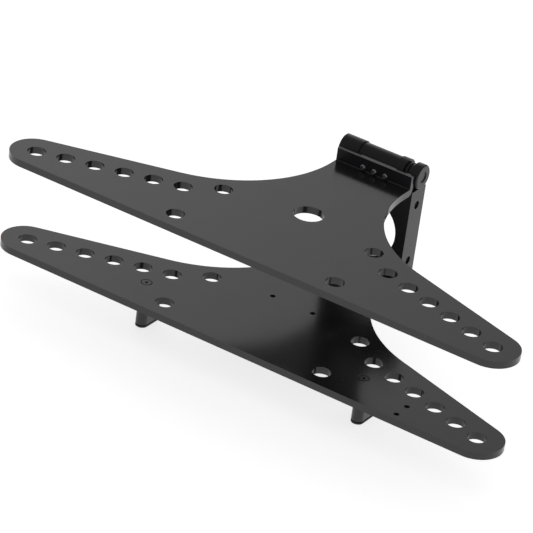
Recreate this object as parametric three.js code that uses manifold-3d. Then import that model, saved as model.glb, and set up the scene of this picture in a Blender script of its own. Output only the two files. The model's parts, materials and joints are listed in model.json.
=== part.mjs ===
// Hinged two-plate tilt mount.
// Two swept wing plates stand one above the other. A windowed bracket joins them at the back,
// and a barrel hinge on top of the bracket lets the upper plate swing open.
// Millimetres. +Z is up, -Y is the front (the long straight edges), +X is to the right.
// Pieces are built with y = 0 at the plates' front edge and z = 0 on the lower plate's top face;
// the group then moves them so that the origin is under the middle of the mount.
import * as THREE from 'three';
import { mergeVertices } from 'three/addons/utils/BufferGeometryUtils.js';
import Module from 'manifold-3d';

const wasm = await Module();
wasm.setup();

// ---------------------------------------------------------------- driving dimensions
const GAP = 0.3;                    // clearance between neighbouring pieces

// wing plates
const PLATE_T = 4;
const SWEEP = THREE.MathUtils.degToRad(18.03);  // arms sweep back by this angle
const TIP_X = 138.9;                // centre of the round arm tip
const TIP_R = 14.3;
const NECK_HALF = 23.2;             // half the width of the neck behind the arms
const NECK_FILLET = 72;             // concave arc from arm to neck
const PITCH = 16;                   // spacing of the holes along each arm
const ARM_HOLE_R = 5;
const ARM_HOLES = 6;
const TIP_HOLE = [TIP_X, TIP_R];    // outermost hole; the others follow the sweep inwards
const INNER_HOLE = [46.3, 52.1];    // one more, set off the row towards the neck
const FRONT_HOLE = [48.6, 11.8];    // single hole by the front edge
const CENTRE_HOLE = [0, 62.3];      // upper plate only
const CENTRE_HOLE_R = 8.25;
const PILOT_R = 1.5;                // small drilled holes, lower plate only
const PILOT_HOLES = [[-12.2, 58.6], [12.8, 58.6], [98, 4.3], [98, 14.3]];
const UPPER_TOP = 52.2;             // upper plate's top face
const UPPER_BOTTOM = UPPER_TOP - PLATE_T;

// bent-up flange at the back of the upper plate
const FLANGE_FRONT = 124.5;
const FLANGE_T = 2.8;               // thinned to clear the knuckles behind it
const FLANGE_BACK = FLANGE_FRONT + FLANGE_T;
const FLANGE_TOP = 59.5;
const BEND_R = 0.5;                 // inner bend radius

// barrel hinge
const AXIS_Y = 134.6;
const AXIS_Z = 56.5;
const KNUCKLE_R = 6.9;              // the two outer knuckles, part of the bracket
const CENTRE_R = 6.3;               // the centre knuckle is slimmer
const PIN_R = 3;
const BUSH_R = 4.2;
const LEFT_KNUCKLE = [-24.8, -12.9];
const CENTRE_KNUCKLE = [-12.6, 10];
const RIGHT_KNUCKLE = [10.3, 15.2];
const WASHERS = [[5.6, 15.5, 17.2], [5.1, 17.5, 19.3]];   // radius, left face, right face
const PIN_HEAD = [19.6, 24.6];
const PIN_END = LEFT_KNUCKLE[0] + 0.4;
const PAD_Z = [51.2, 58.8];         // pad that joins the centre knuckle to the flange
const FLANGE_SCREW_X = [-6.2, 0.7, 7.6];
const FLANGE_SCREW_Z = 54.4;
const LOCK_SCREW_X = -18.5;

// bracket, as deep as the outer knuckles
const BRACKET_X = [-NECK_HALF, NECK_HALF];
const BRACKET_Y = [AXIS_Y - KNUCKLE_R, AXIS_Y + KNUCKLE_R];
const SADDLE_Z = 49.1;              // flat top between and beside the knuckles
const WINDOW_R = 17;
const WINDOW_Z = 20.2;
const SIDE_HOLES_Z = [6, 39.5];
const SIDE_SCREW_R = 2;
const SIDE_HOLE_DEPTH = 5.2;
const BRACKET_SCREW_X = [-15.6, -10, 10, 15.6];

// feet
const FOOT_R = 3.4;                 // half width and nose radius
const FOOT_DEPTH = 13.6;
const FRONT_FOOT = [67.4, 22.3];    // nose centre
const REAR_FOOT = [15, 92];
const FOOT_BOTTOM = -25.7;
const PAD_T = 1.2;                  // rubber under each foot

// screws
const SCREW_R = 1.5;
const HEAD_R = 2.9;                 // countersunk head
const HEAD_H = 1.5;
const BUTTON_R = 1.6;               // small button heads on the flange
const BUTTON_H = 1.1;
const BUTTON_SHANK_R = 1;
const SOCKET_R = 0.8;

const FACETS = 24;                  // round a hole or shaft
const SCREW_FACETS = 16;            // round a screw or its hole

// ---------------------------------------------------------------- materials
const coat = (colour, roughness) =>
  new THREE.MeshStandardMaterial({ color: colour, roughness, metalness: 0.3 });
const PLATE_COAT = coat(0x232325, 0.35);
const HINGE_COAT = coat(0x1a1a1c, 0.4);
const SCREW_BLACK = coat(0x111112, 0.3);
const FOOT_BLACK = coat(0x1b1b1c, 0.45);
const STEEL = new THREE.MeshStandardMaterial({ color: 0x8f9194, roughness: 0.3, metalness: 1 });
const BRONZE = new THREE.MeshStandardMaterial({ color: 0x9a7440, roughness: 0.4, metalness: 1 });
const RUBBER = new THREE.MeshStandardMaterial({ color: 0x151515, roughness: 0.8, metalness: 0 });

// ---------------------------------------------------------------- solid helpers
function solid(geometry) {
  const bare = geometry.clone();
  for (const name of Object.keys(bare.attributes)) {
    if (name !== 'position') bare.deleteAttribute(name);
  }
  const merged = mergeVertices(bare, 1e-4);
  return new wasm.Manifold(new wasm.Mesh({
    numProp: 3,
    vertProperties: new Float32Array(merged.attributes.position.array),
    triVerts: new Uint32Array(merged.index.array),
  }));
}

function geometryOf(manifold) {
  const mesh = manifold.getMesh();
  const geometry = new THREE.BufferGeometry();
  geometry.setAttribute('position', new THREE.BufferAttribute(mesh.vertProperties, 3));
  geometry.setIndex(new THREE.BufferAttribute(mesh.triVerts, 1));
  geometry.computeVertexNormals();
  return geometry;
}

function cut(base, tools) {
  return tools.reduce((left, tool) => left.subtract(solid(tool)), solid(base));
}

// A shape drawn in X and Y, raised from z = bottom to z = top.
function raised(shape, bottom, top) {
  const settings = { depth: top - bottom, bevelEnabled: false, curveSegments: FACETS / 2 };
  return new THREE.ExtrudeGeometry(shape, settings).translate(0, 0, bottom);
}

// A shape drawn with y and z as its two directions, run along X from left to right.
function along(shape, left, right) {
  const settings = { depth: right - left, bevelEnabled: false, curveSegments: FACETS / 4 };
  const turn = new THREE.Matrix4().set(
    0, 0, 1, left,
    1, 0, 0, 0,
    0, 1, 0, 0,
    0, 0, 0, 1);
  return new THREE.ExtrudeGeometry(shape, settings).applyMatrix4(turn);
}

function box([x0, x1], [y0, y1], [z0, z1]) {
  return new THREE.BoxGeometry(x1 - x0, y1 - y0, z1 - z0)
    .translate((x0 + x1) / 2, (y0 + y1) / 2, (z0 + z1) / 2);
}

// A solid of revolution. Its profile is [radius, height] pairs, with height along `direction`
// measured from `place`.
function lathed(profile, direction, place, facets = FACETS) {
  const turn = new THREE.Quaternion().setFromUnitVectors(
    new THREE.Vector3(0, 1, 0), new THREE.Vector3(...direction));
  return new THREE.LatheGeometry(profile.map(([r, h]) => new THREE.Vector2(r, h)), facets)
    .applyQuaternion(turn)
    .translate(...place);
}

function rod(radius, [from, to], direction, place, facets = FACETS) {
  return lathed([[0, from], [radius, from], [radius, to], [0, to]], direction, place, facets);
}

function tube(outer, inner, [from, to]) {
  return lathed([[inner, from], [outer, from], [outer, to], [inner, to], [inner, from]],
    [1, 0, 0], [0, AXIS_Y, AXIS_Z]);
}

function onAxis(radius, span) {
  return rod(radius, span, [1, 0, 0], [0, AXIS_Y, AXIS_Z]);
}

// ---------------------------------------------------------------- screws
// Every screw has a hex socket in its outer end.
function socketed(body, outerEnd, depth, direction, place) {
  return cut(body, [rod(SOCKET_R, [outerEnd - depth, outerEnd + 1], direction, place, 6)]);
}

function countersunkScrew(length, direction, place) {
  const profile = [[0, -length], [SCREW_R, -length], [SCREW_R, -HEAD_H], [HEAD_R, 0], [0, 0]];
  return socketed(lathed(profile, direction, place, SCREW_FACETS), 0, 1.1, direction, place);
}

function countersink(depth, direction, place) {
  const shank = SCREW_R + GAP;
  const rim = HEAD_R + GAP;
  return lathed([[0, -depth], [shank, -depth], [shank, -HEAD_H - GAP], [rim, 0], [rim, 1], [0, 1]],
    direction, place, SCREW_FACETS);
}

function buttonScrew(length, direction, place) {
  const profile = [[0, -length], [BUTTON_SHANK_R, -length], [BUTTON_SHANK_R, 0], [BUTTON_R, 0],
    [BUTTON_R, BUTTON_H * 0.4], [BUTTON_R * 0.7, BUTTON_H], [0, BUTTON_H]];
  const head = lathed(profile, direction, place, SCREW_FACETS);
  return socketed(head, BUTTON_H, 0.9, direction, place);
}

function grubScrew(radius, span, direction, place) {
  const body = rod(radius, span, direction, place, SCREW_FACETS);
  return socketed(body, span[1], 1.5, direction, place);
}

// ---------------------------------------------------------------- plates
// The arm's rear edge lies this far from the origin along its own normal.
const ARM_REAR = TIP_X * Math.sin(SWEEP) + TIP_R * Math.cos(SWEEP) + TIP_R;

// The swept outline that both plates share, up to where the neck is cut off. A fillet circle
// touches the arm's rear edge and the side of the neck.
function wingOutline(neckEnd) {
  const edge = Math.PI / 2 - SWEEP;
  const filletX = NECK_HALF + NECK_FILLET;
  const filletY = (ARM_REAR + NECK_FILLET - filletX * Math.sin(SWEEP)) / Math.cos(SWEEP);
  const shape = new THREE.Shape();
  shape.moveTo(-TIP_X, 0);
  shape.lineTo(TIP_X, 0);
  shape.absarc(TIP_X, TIP_R, TIP_R, -Math.PI / 2, edge, false);
  shape.absarc(filletX, filletY, NECK_FILLET, Math.PI + edge, Math.PI, true);
  shape.lineTo(NECK_HALF, neckEnd);
  shape.lineTo(-NECK_HALF, neckEnd);
  shape.absarc(-filletX, filletY, NECK_FILLET, 0, -edge, true);
  shape.absarc(-TIP_X, TIP_R, TIP_R, Math.PI - edge, Math.PI * 1.5, false);
  return shape;
}

function armHoles() {
  const right = [FRONT_HOLE, INNER_HOLE];
  for (let i = 0; i < ARM_HOLES; i += 1) {
    const out = i * PITCH;
    right.push([TIP_HOLE[0] - out * Math.cos(SWEEP), TIP_HOLE[1] + out * Math.sin(SWEEP)]);
  }
  const left = right.map(([x, y]) => [-x, y]);
  return [...right, ...left].map(([x, y]) => [x, y, ARM_HOLE_R]);
}

function drilled(shape, holes) {
  for (const [x, y, r] of holes) {
    const hole = new THREE.Path();
    hole.absarc(x, y, r, 0, Math.PI * 2, true);
    shape.holes.push(hole);
  }
  return shape;
}

const footPlaces = [
  ['foot_front_left', -FRONT_FOOT[0], FRONT_FOOT[1]],
  ['foot_front_right', FRONT_FOOT[0], FRONT_FOOT[1]],
  ['foot_rear_left', -REAR_FOOT[0], REAR_FOOT[1]],
  ['foot_rear_right', REAR_FOOT[0], REAR_FOOT[1]],
];

function lowerPlate() {
  const outline = drilled(wingOutline(BRACKET_Y[1]), armHoles());
  return cut(raised(outline, -PLATE_T, 0), [
    ...PILOT_HOLES.map(([x, y]) =>
      rod(PILOT_R, [-PLATE_T - 1, 1], [0, 0, 1], [x, y, 0], SCREW_FACETS)),
    ...footPlaces.map(([, x, y]) => countersink(PLATE_T + 1, [0, 0, 1], [x, y, 0])),
    ...BRACKET_SCREW_X.map((x) =>
      countersink(PLATE_T + 1, [0, 0, -1], [x, AXIS_Y, -PLATE_T])),
  ]);
}

// Side view of the bend: from inside the flat plate, round the corner and up the flange.
function bendProfile() {
  const outer = BEND_R + FLANGE_T;
  const bendY = FLANGE_FRONT - BEND_R;
  const bendZ = UPPER_TOP + BEND_R;
  const shape = new THREE.Shape();
  shape.moveTo(bendY - 4, UPPER_BOTTOM);
  shape.lineTo(bendY, UPPER_BOTTOM);
  shape.absellipse(bendY, bendZ, outer, BEND_R + PLATE_T, -Math.PI / 2, 0, false);
  shape.lineTo(FLANGE_BACK, FLANGE_TOP);
  shape.lineTo(FLANGE_FRONT, FLANGE_TOP);
  shape.lineTo(FLANGE_FRONT, bendZ);
  shape.absarc(bendY, bendZ, BEND_R, 0, -Math.PI / 2, true);
  shape.lineTo(bendY - 4, UPPER_TOP);
  shape.closePath();
  return shape;
}

function upperPlate() {
  const outline = drilled(wingOutline(FLANGE_FRONT - BEND_R - 3),
    [...armHoles(), [...CENTRE_HOLE, CENTRE_HOLE_R]]);
  const flat = solid(raised(outline, UPPER_BOTTOM, UPPER_TOP));
  const flange = cut(along(bendProfile(), -NECK_HALF, NECK_HALF),
    FLANGE_SCREW_X.map((x) => rod(BUTTON_SHANK_R + GAP, [-1, FLANGE_T + 1], [0, 1, 0],
      [x, FLANGE_FRONT, FLANGE_SCREW_Z], SCREW_FACETS)));
  return flat.add(flange);
}

// ---------------------------------------------------------------- bracket and hinge
// A square post with a saddle on top, where two ears rise and end in the outer knuckles.
function bracket() {
  const post = solid(box(BRACKET_X, BRACKET_Y, [GAP, SADDLE_Z]));
  const body = [LEFT_KNUCKLE, RIGHT_KNUCKLE].reduce((whole, [left, right]) => whole
    .add(solid(box([Math.max(left, BRACKET_X[0]), right], BRACKET_Y, [SADDLE_Z - 1, AXIS_Z])))
    .add(solid(onAxis(KNUCKLE_R, [left, right]))), post);
  const cuts = [
    rod(WINDOW_R, [-KNUCKLE_R - 1, KNUCKLE_R + 1], [0, 1, 0], [0, AXIS_Y, WINDOW_Z], 48),
    onAxis(PIN_R + GAP, [LEFT_KNUCKLE[0] - 1, RIGHT_KNUCKLE[1] + 1]),
    rod(SCREW_R + GAP, [0, KNUCKLE_R + 1], [0, 1, 0], [LOCK_SCREW_X, AXIS_Y, AXIS_Z],
      SCREW_FACETS),
    ...BRACKET_SCREW_X.map((x) =>
      rod(SCREW_R + GAP, [-1, 4.4], [0, 0, 1], [x, AXIS_Y, 0], SCREW_FACETS)),
  ];
  for (const x of BRACKET_X) {
    for (const z of SIDE_HOLES_Z) {
      cuts.push(rod(SIDE_SCREW_R + GAP, [-SIDE_HOLE_DEPTH, 1], [Math.sign(x), 0, 0],
        [x, AXIS_Y, z], SCREW_FACETS));
    }
  }
  return cuts.reduce((left, tool) => left.subtract(solid(tool)), body);
}

function centreKnuckle() {
  const barrel = solid(onAxis(CENTRE_R, CENTRE_KNUCKLE));
  const pad = solid(box(CENTRE_KNUCKLE, [FLANGE_BACK + GAP, AXIS_Y], PAD_Z));
  const bores = [
    onAxis(BUSH_R + GAP, [CENTRE_KNUCKLE[0] - 1, CENTRE_KNUCKLE[1] + 1]),
    ...FLANGE_SCREW_X.map((x) =>
      rod(BUTTON_SHANK_R + GAP, [0, 7], [0, 1, 0], [x, FLANGE_FRONT, FLANGE_SCREW_Z],
        SCREW_FACETS)),
  ];
  return bores.reduce((left, tool) => left.subtract(solid(tool)), barrel.add(pad));
}

// A plain shank with a wide flat head on the right, hollowed a little at its centre.
function hingePin() {
  const [headIn, headOut] = PIN_HEAD;
  return lathed([[0, PIN_END], [PIN_R - 0.5, PIN_END], [PIN_R, PIN_END + 0.5], [PIN_R, headIn],
    [KNUCKLE_R, headIn], [KNUCKLE_R, headOut - 0.6], [KNUCKLE_R - 0.6, headOut],
    [PIN_R, headOut], [PIN_R, headOut - 0.6], [0, headOut - 0.6]],
  [1, 0, 0], [0, AXIS_Y, AXIS_Z]);
}

// ---------------------------------------------------------------- feet
// Plan of a foot: a round nose at the front, straight sides and a square back.
function footOutline(x, y) {
  const shape = new THREE.Shape();
  const back = y - FOOT_R + FOOT_DEPTH;
  shape.moveTo(x + FOOT_R, back);
  shape.lineTo(x - FOOT_R, back);
  shape.absarc(x, y, FOOT_R, Math.PI, Math.PI * 2, false);
  shape.closePath();
  return shape;
}

function foot(x, y) {
  return cut(raised(footOutline(x, y), FOOT_BOTTOM + PAD_T + GAP, -PLATE_T - GAP),
    [rod(SCREW_R + GAP, [-12, 0], [0, 0, 1], [x, y, -PLATE_T], SCREW_FACETS)]);
}

// ---------------------------------------------------------------- assembly
const mount = new THREE.Group();
mount.position.set(0, -BRACKET_Y[1] / 2, -FOOT_BOTTOM);

function place(name, shape, material) {
  const mesh = new THREE.Mesh(shape.isBufferGeometry ? shape : geometryOf(shape), material);
  mesh.name = name;
  mount.add(mesh);
}

place('lower_plate', lowerPlate(), PLATE_COAT);
place('upper_plate', upperPlate(), PLATE_COAT);
place('rear_bracket', bracket(), HINGE_COAT);
place('centre_knuckle', centreKnuckle(), HINGE_COAT);
place('hinge_pin', hingePin(), HINGE_COAT);
place('centre_bush', tube(BUSH_R, PIN_R + GAP, CENTRE_KNUCKLE), BRONZE);
WASHERS.forEach(([radius, left, right], i) => {
  place(`pin_washer_${i + 1}`, tube(radius, PIN_R + GAP, [left, right]), HINGE_COAT);
});
place('pin_lock_screw',
  grubScrew(SCREW_R, [PIN_R + GAP, KNUCKLE_R - 0.8], [0, 1, 0],
    [LOCK_SCREW_X, AXIS_Y, AXIS_Z]),
  SCREW_BLACK);

FLANGE_SCREW_X.forEach((x, i) => {
  const seat = [x, FLANGE_FRONT - GAP, FLANGE_SCREW_Z];
  place(`flange_screw_${i + 1}`, buttonScrew(6, [0, -1, 0], seat), STEEL);
});

BRACKET_SCREW_X.forEach((x, i) => {
  const seat = [x, AXIS_Y, -PLATE_T];
  place(`bracket_screw_${i + 1}`, countersunkScrew(7.6, [0, 0, -1], seat), SCREW_BLACK);
});

for (const [word, x] of [['left', BRACKET_X[0]], ['right', BRACKET_X[1]]]) {
  SIDE_HOLES_Z.forEach((z, i) => {
    const screw = grubScrew(SIDE_SCREW_R, [-4.7, -1], [Math.sign(x), 0, 0], [x, AXIS_Y, z]);
    place(`side_screw_${word}_${i === 0 ? 'low' : 'high'}`, screw, SCREW_BLACK);
  });
}

for (const [name, x, y] of footPlaces) {
  place(name, foot(x, y), FOOT_BLACK);
  place(`${name}_screw`, countersunkScrew(13, [0, 0, 1], [x, y, 0]), SCREW_BLACK);
  place(`${name}_pad`, raised(footOutline(x, y), FOOT_BOTTOM, FOOT_BOTTOM + PAD_T), RUBBER);
}

export default mount;
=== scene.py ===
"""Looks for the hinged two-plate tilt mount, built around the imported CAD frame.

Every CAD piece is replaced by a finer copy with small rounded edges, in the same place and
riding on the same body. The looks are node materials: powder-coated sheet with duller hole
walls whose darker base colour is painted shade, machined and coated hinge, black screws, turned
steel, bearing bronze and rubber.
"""
import json
import math

import bmesh
import bpy
from mathutils import Matrix, Vector

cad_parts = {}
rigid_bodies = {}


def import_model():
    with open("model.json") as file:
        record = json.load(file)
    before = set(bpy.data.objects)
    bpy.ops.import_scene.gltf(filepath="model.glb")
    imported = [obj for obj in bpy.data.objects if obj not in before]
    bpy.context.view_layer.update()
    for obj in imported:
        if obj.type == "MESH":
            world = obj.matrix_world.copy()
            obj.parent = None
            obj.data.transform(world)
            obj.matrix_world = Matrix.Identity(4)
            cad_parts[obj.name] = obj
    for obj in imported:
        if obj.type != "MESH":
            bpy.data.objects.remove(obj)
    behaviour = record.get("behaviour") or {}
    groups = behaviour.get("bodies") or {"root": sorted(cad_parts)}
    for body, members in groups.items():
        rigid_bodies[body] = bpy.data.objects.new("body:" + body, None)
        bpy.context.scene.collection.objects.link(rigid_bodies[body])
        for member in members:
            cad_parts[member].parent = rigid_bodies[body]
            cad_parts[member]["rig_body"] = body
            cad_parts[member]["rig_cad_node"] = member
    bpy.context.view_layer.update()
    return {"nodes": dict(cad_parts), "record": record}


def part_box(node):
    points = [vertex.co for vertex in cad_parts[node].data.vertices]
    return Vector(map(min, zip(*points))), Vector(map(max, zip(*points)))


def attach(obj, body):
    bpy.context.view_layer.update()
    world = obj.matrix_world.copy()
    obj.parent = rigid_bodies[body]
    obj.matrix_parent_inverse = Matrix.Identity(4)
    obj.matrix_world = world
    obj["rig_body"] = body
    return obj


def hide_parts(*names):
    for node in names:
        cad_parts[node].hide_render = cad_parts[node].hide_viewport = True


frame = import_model()
nodes = frame["nodes"]


# ---------------------------------------------------------------- node helpers
class Nodes:
    """Short calls for building the node tree of one material, or of the world."""

    def __init__(self, block, shader, place):
        block.use_nodes = True
        self.block = block
        self.tree = block.node_tree
        self.shader = self.tree.nodes[shader]
        self.place = self.add("ShaderNodeTexCoord").outputs[place]

    def add(self, kind, **inputs):
        node = self.tree.nodes.new(kind)
        for key, value in inputs.items():
            self.put(node, key.replace("_", " "), value)
        return node

    def put(self, node, key, value):
        socket = node.inputs[key]
        if isinstance(value, bpy.types.NodeSocket):
            self.tree.links.new(value, socket)
        else:
            socket.default_value = value

    def stretched(self, scale):
        mapping = self.add("ShaderNodeMapping", Scale=scale)
        self.put(mapping, "Vector", self.place)
        return mapping.outputs["Vector"]

    def noise(self, scale, detail=3.0, roughness=0.5, vector=None):
        node = self.add("ShaderNodeTexNoise", Scale=scale, Detail=detail, Roughness=roughness)
        self.put(node, "Vector", vector or self.place)
        return node.outputs["Fac"]

    def ranged(self, value, low, high, to_low, to_high):
        node = self.add("ShaderNodeMapRange")
        node.interpolation_type = "SMOOTHSTEP"
        for key, number in (("From Min", low), ("From Max", high),
                            ("To Min", to_low), ("To Max", to_high)):
            node.inputs[key].default_value = number
        self.put(node, "Value", value)
        return node.outputs["Result"]

    def maths(self, operation, a, b):
        node = self.add("ShaderNodeMath")
        node.operation = operation
        self.put(node, 0, a)
        self.put(node, 1, b)
        return node.outputs[0]

    def mixed(self, factor, a, b):
        node = self.add("ShaderNodeMix")
        node.data_type = "RGBA"
        # The colour sockets of a mix node are its inputs 6 and 7 and its output 2.
        self.put(node, 0, factor)
        self.put(node, 6, a)
        self.put(node, 7, b)
        return node.outputs[2]

    def bump(self, height, distance, strength=1.0, under=None):
        node = self.add("ShaderNodeBump", Strength=strength, Distance=distance)
        self.put(node, "Height", height)
        if under is not None:
            self.put(node, "Normal", under)
        return node.outputs["Normal"]

    def finish(self, **values):
        for key, value in values.items():
            self.put(self.shader, key.replace("_", " "), value)
        return self.block


def material(name):
    return Nodes(bpy.data.materials.new(name), "Principled BSDF", "Object")


def rgb(r, g, b):
    return (r, g, b, 1.0)


def coated(name, colour, rough, ior=1.5):
    """Semi-gloss black powder coat: fine orange peel, faint clouds and a few dust specks."""
    m = material(name)
    clouds = m.noise(24.0, 5.0, 0.6)
    smudges = m.ranged(m.noise(55.0, 4.0, 0.65), 0.5, 0.72, 0.0, 1.0)
    peel = m.noise(1400.0, 2.0, 0.5)
    waves = m.bump(m.noise(260.0, 2.0, 0.5), 0.00004, 0.2)
    specks = m.ranged(m.noise(620.0, 1.0), 0.76, 0.80, 0.0, 0.6)
    shade = m.mixed(clouds, rgb(*[c * 0.8 for c in colour]), rgb(*[c * 1.25 for c in colour]))
    shade = m.mixed(specks, shade, rgb(0.05, 0.05, 0.05))
    roughness = m.maths("ADD", m.ranged(clouds, 0.3, 0.7, rough - 0.02, rough + 0.02),
                        m.maths("MULTIPLY", smudges, 0.05))
    return m.finish(Base_Color=shade, Roughness=roughness, IOR=ior,
                    Normal=m.bump(peel, 0.00002, 0.3, waves))


def rubbed(name, colour, rough, ior=1.5):
    """The same coat on the rounded edges, where handling has thinned and polished it."""
    m = material(name)
    wear = m.ranged(m.noise(260.0, 4.0, 0.65), 0.42, 0.7, 0.0, 0.8)
    nicks = m.ranged(m.noise(900.0, 2.0), 0.68, 0.76, 0.0, 0.5)
    shade = m.mixed(wear, rgb(*colour), rgb(0.035, 0.035, 0.037))
    shade = m.mixed(nicks, shade, rgb(0.16, 0.16, 0.165))
    return m.finish(Base_Color=shade, Roughness=m.ranged(wear, 0.0, 0.8, rough, rough + 0.1),
                    IOR=ior)


def bore_wall_painted_shade(name):
    """The thin rough coat on the walls of the holes, dull and a little dusty; its base colour
    is darker than the plate's as painted shade inside the holes.
    """
    m = material(name)
    dust = m.ranged(m.noise(500.0, 3.0), 0.5, 0.8, 0.0, 0.5)
    # base colour darker than the plate's coat: painted shade inside the holes; the lighter
    # specks are dust
    return m.finish(Base_Color=m.mixed(dust, rgb(0.008, 0.008, 0.009), rgb(0.03, 0.03, 0.03)),
                    Roughness=0.5, IOR=1.3, Normal=m.bump(m.noise(1500.0), 0.00004, 0.4))


def turned_steel(name, colour, rough):
    """Bare turned metal with fine rings round the hinge axis and a few stains."""
    m = material(name)
    rings = m.noise(1.0, 3.0, 0.6, m.stretched((2600.0, 60.0, 60.0)))
    stains = m.noise(140.0, 4.0, 0.6)
    shade = m.mixed(stains, rgb(*[c * 0.75 for c in colour]), rgb(*colour))
    roughness = m.maths("ADD", m.ranged(rings, 0.3, 0.7, rough - 0.05, rough + 0.07),
                        m.maths("MULTIPLY", stains, 0.06))
    return m.finish(Base_Color=shade, Roughness=roughness, Metallic=1.0,
                    Normal=m.bump(rings, 0.00003, 0.3))


def rubber(name):
    """Matte black rubber with pale dust."""
    m = material(name)
    dust = m.ranged(m.noise(220.0, 5.0, 0.65), 0.45, 0.75, 0.0, 0.35)
    shade = m.mixed(dust, rgb(0.012, 0.012, 0.012), rgb(0.06, 0.058, 0.055))
    return m.finish(Base_Color=shade, Roughness=m.ranged(dust, 0.0, 0.35, 0.65, 0.85),
                    Normal=m.bump(m.noise(1800.0, 3.0), 0.00006, 0.5))


PLATE = (0.0155, 0.0155, 0.0178)
HINGE = (0.015, 0.015, 0.016)
LOOKS = {
    # the plates' hole walls get a darker base colour as painted shade
    "plate_coat": [coated("plate_powder_coat", PLATE, 0.16), bore_wall_painted_shade("plate_bore_painted_shade"),
                   rubbed("plate_edge", PLATE, 0.25)],
    "hinge_coat": [coated("hinge_coat", HINGE, 0.24, ior=1.37),
                   rubbed("hinge_edge", HINGE, 0.3, ior=1.37)],
    "foot_black": [coated("foot_coat", HINGE, 0.3), rubbed("foot_edge", HINGE, 0.35)],
    "black_screw": [coated("black_oxide", HINGE, 0.25), rubbed("screw_edge", HINGE, 0.25)],
    "steel": [turned_steel("turned_steel", (0.35, 0.355, 0.36), 0.3)],
    "bronze": [turned_steel("bearing_bronze", (0.42, 0.27, 0.12), 0.35)],
    "rubber": [rubber("foot_rubber")],
}


# ---------------------------------------------------------------- finer copies of CAD pieces
# The plates' large holes, by their distance from the middle and from the front edge.
PITCH = 0.016
SWEEP = math.radians(18.03)
TIP_HOLE = (0.1389, 0.0143)
FRONT_HOLE = (0.0486, 0.0118)
INNER_HOLE = (0.0463, 0.0521)
CENTRE_HOLE = (0.0, 0.0623)
BORE_REACH = 0.0085                 # just over the largest hole's radius
row = [(TIP_HOLE[0] - i * PITCH * math.cos(SWEEP), TIP_HOLE[1] + i * PITCH * math.sin(SWEEP))
       for i in range(6)]
front_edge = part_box("lower_plate")[0].y
bores = [Vector((side * x, front_edge + y)) for side in (-1, 1)
         for x, y in row + [FRONT_HOLE, INNER_HOLE, CENTRE_HOLE]]


def in_bore(node, place, normal):
    return (node.endswith("_plate") and abs(normal.z) < 0.1
            and any((place.xy - bore).length < BORE_REACH for bore in bores))


def softened(node, width):
    """A copy of a CAD node with its sharp edges rounded, riding on the same body."""
    source = nodes[node]
    piece = source.copy()
    piece.data = source.data.copy()
    piece.name = f"{node}_finish"
    piece.parent = None
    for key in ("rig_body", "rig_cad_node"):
        if key in piece:
            del piece[key]
    bpy.context.scene.collection.objects.link(piece)
    work = bmesh.new()
    work.from_mesh(piece.data)
    bmesh.ops.remove_doubles(work, verts=work.verts, dist=1e-6)
    bmesh.ops.dissolve_limit(work, angle_limit=math.radians(0.5), verts=work.verts,
                             edges=work.edges)
    for face in work.faces:
        face.smooth = True
        if in_bore(node, source.matrix_world @ face.calc_center_median(), face.normal):
            face.material_index = 1
    work.to_mesh(piece.data)
    work.free()
    if piece.data.has_custom_normals:
        with bpy.context.temp_override(object=piece, active_object=piece):
            bpy.ops.mesh.customdata_custom_splitnormals_clear()
    bevel = piece.modifiers.new("edges", "BEVEL")
    bevel.width = width
    bevel.segments = 3
    bevel.limit_method = "ANGLE"
    bevel.angle_limit = math.radians(28.0)
    bevel.use_clamp_overlap = True
    bevel.harden_normals = True
    bevel.miter_outer = "MITER_ARC"
    weighted = piece.modifiers.new("normals", "WEIGHTED_NORMAL")
    weighted.keep_sharp = True
    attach(piece, source["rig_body"])
    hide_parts(node)
    return piece


def dressed(piece, slot):
    """The slot's materials on a piece, the last of them on its rounded edges."""
    piece.data.materials.clear()
    for look in LOOKS[slot]:
        piece.data.materials.append(look)
    piece.modifiers["edges"].material = len(LOOKS[slot]) - 1
    return piece


slots = {part["node"]: part["material_slot"] for part in frame["record"]["subparts"]}
FOOT_EDGE = 0.0003
SMALL_EDGE = 0.00015
EDGES = {
    "lower_plate": 0.0009,
    "upper_plate": 0.0009,
    "rear_bracket": 0.0005,
    "centre_knuckle": 0.0003,
    "hinge_pin": 0.0004,
}
for name in nodes:
    width = EDGES.get(name, FOOT_EDGE if name.startswith("foot") else SMALL_EDGE)
    dressed(softened(name, width), slots[name])


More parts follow.
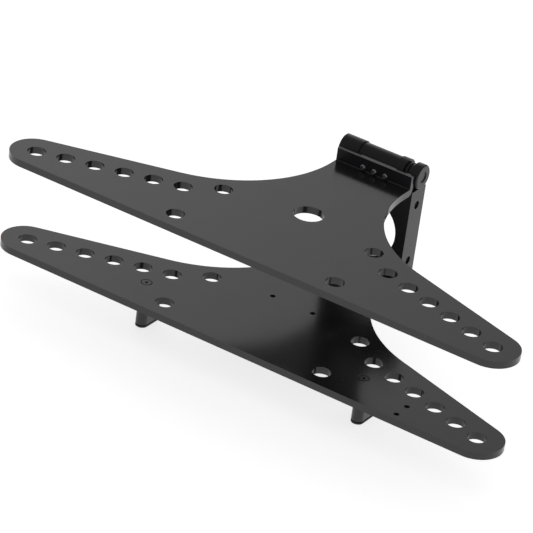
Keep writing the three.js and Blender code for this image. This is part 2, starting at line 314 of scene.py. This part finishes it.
# ---------------------------------------------------------------- floor
# Pale and plain, just under the feet, and self-lit so that it fades into the background.
floor_mesh = bpy.data.meshes.new("floor")
floor_mesh.from_pydata([(-9, -9, 0), (9, -9, 0), (9, 9, 0), (-9, 9, 0)], [], [(0, 1, 2, 3)])
floor = bpy.data.objects.new("floor", floor_mesh)
floor.location.z = -0.0002
bpy.context.scene.collection.objects.link(floor)
floor_mesh.materials.append(material("pale_floor").finish(
    Base_Color=rgb(0.93, 0.93, 0.93), Roughness=0.9, Specular_IOR_Level=0.1,
    Emission_Color=rgb(1.0, 1.0, 1.0), Emission_Strength=0.74))


# ---------------------------------------------------------------- light
# A bright sweep low behind the mount, brightest to the left, in a dimmer room.
sky = Nodes(bpy.data.worlds.new("studio"), "Background", "Generated")
x, y, z = sky.add("ShaderNodeSeparateXYZ", Vector=sky.place).outputs
sweep = sky.maths("MULTIPLY", sky.ranged(z, 0.50, 0.80, 1.0, 0.0),
                  sky.ranged(y, 0.05, 0.6, 0.0, 1.0))
sweep = sky.maths("MULTIPLY", sweep, sky.ranged(x, -0.62, -0.25, 0.84, 0.2))
bpy.context.scene.world = sky.finish(Color=rgb(1.0, 1.0, 1.0),
                                     Strength=sky.maths("ADD", sweep, 0.3))
bpy.context.scene.view_settings.view_transform = "Standard"


# ---------------------------------------------------------------- camera
AZIMUTH = math.radians(29.862)      # to the right of straight in front
ELEVATION = math.radians(28.631)
ROLL = math.radians(7.931)
OFFSET_RIGHT = 1.1817               # the offsets and the distance are in hole pitches
OFFSET_UP = 2.4872
DISTANCE = 113.636
FOCAL = 242.337                     # in mm, like the sensor's width
SENSOR = 36.0

back = Vector((math.sin(AZIMUTH) * math.cos(ELEVATION),
               -math.cos(AZIMUTH) * math.cos(ELEVATION), math.sin(ELEVATION)))
level = (-back).cross(Vector((0, 0, 1))).normalized()
upright = level.cross(-back)
right = level * math.cos(ROLL) + upright * math.sin(ROLL)
up = upright * math.cos(ROLL) - level * math.sin(ROLL)
# The plates' front edge, level with the lower plate's top face, in the middle.
low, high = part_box("lower_plate")
anchor = Vector((0.0, low.y, high.z))
spot = anchor + PITCH * (OFFSET_RIGHT * right + OFFSET_UP * up + DISTANCE * back)
lens = bpy.data.cameras.new("camera")
lens.sensor_width = SENSOR
lens.lens = FOCAL
lens.clip_end = 50.0
camera = bpy.data.objects.new("camera", lens)
camera.matrix_world = Matrix.Translation(spot) @ Matrix((right, up, back)).transposed().to_4x4()
bpy.context.scene.collection.objects.link(camera)
bpy.context.scene.camera = camera

bpy.context.view_layer.update()
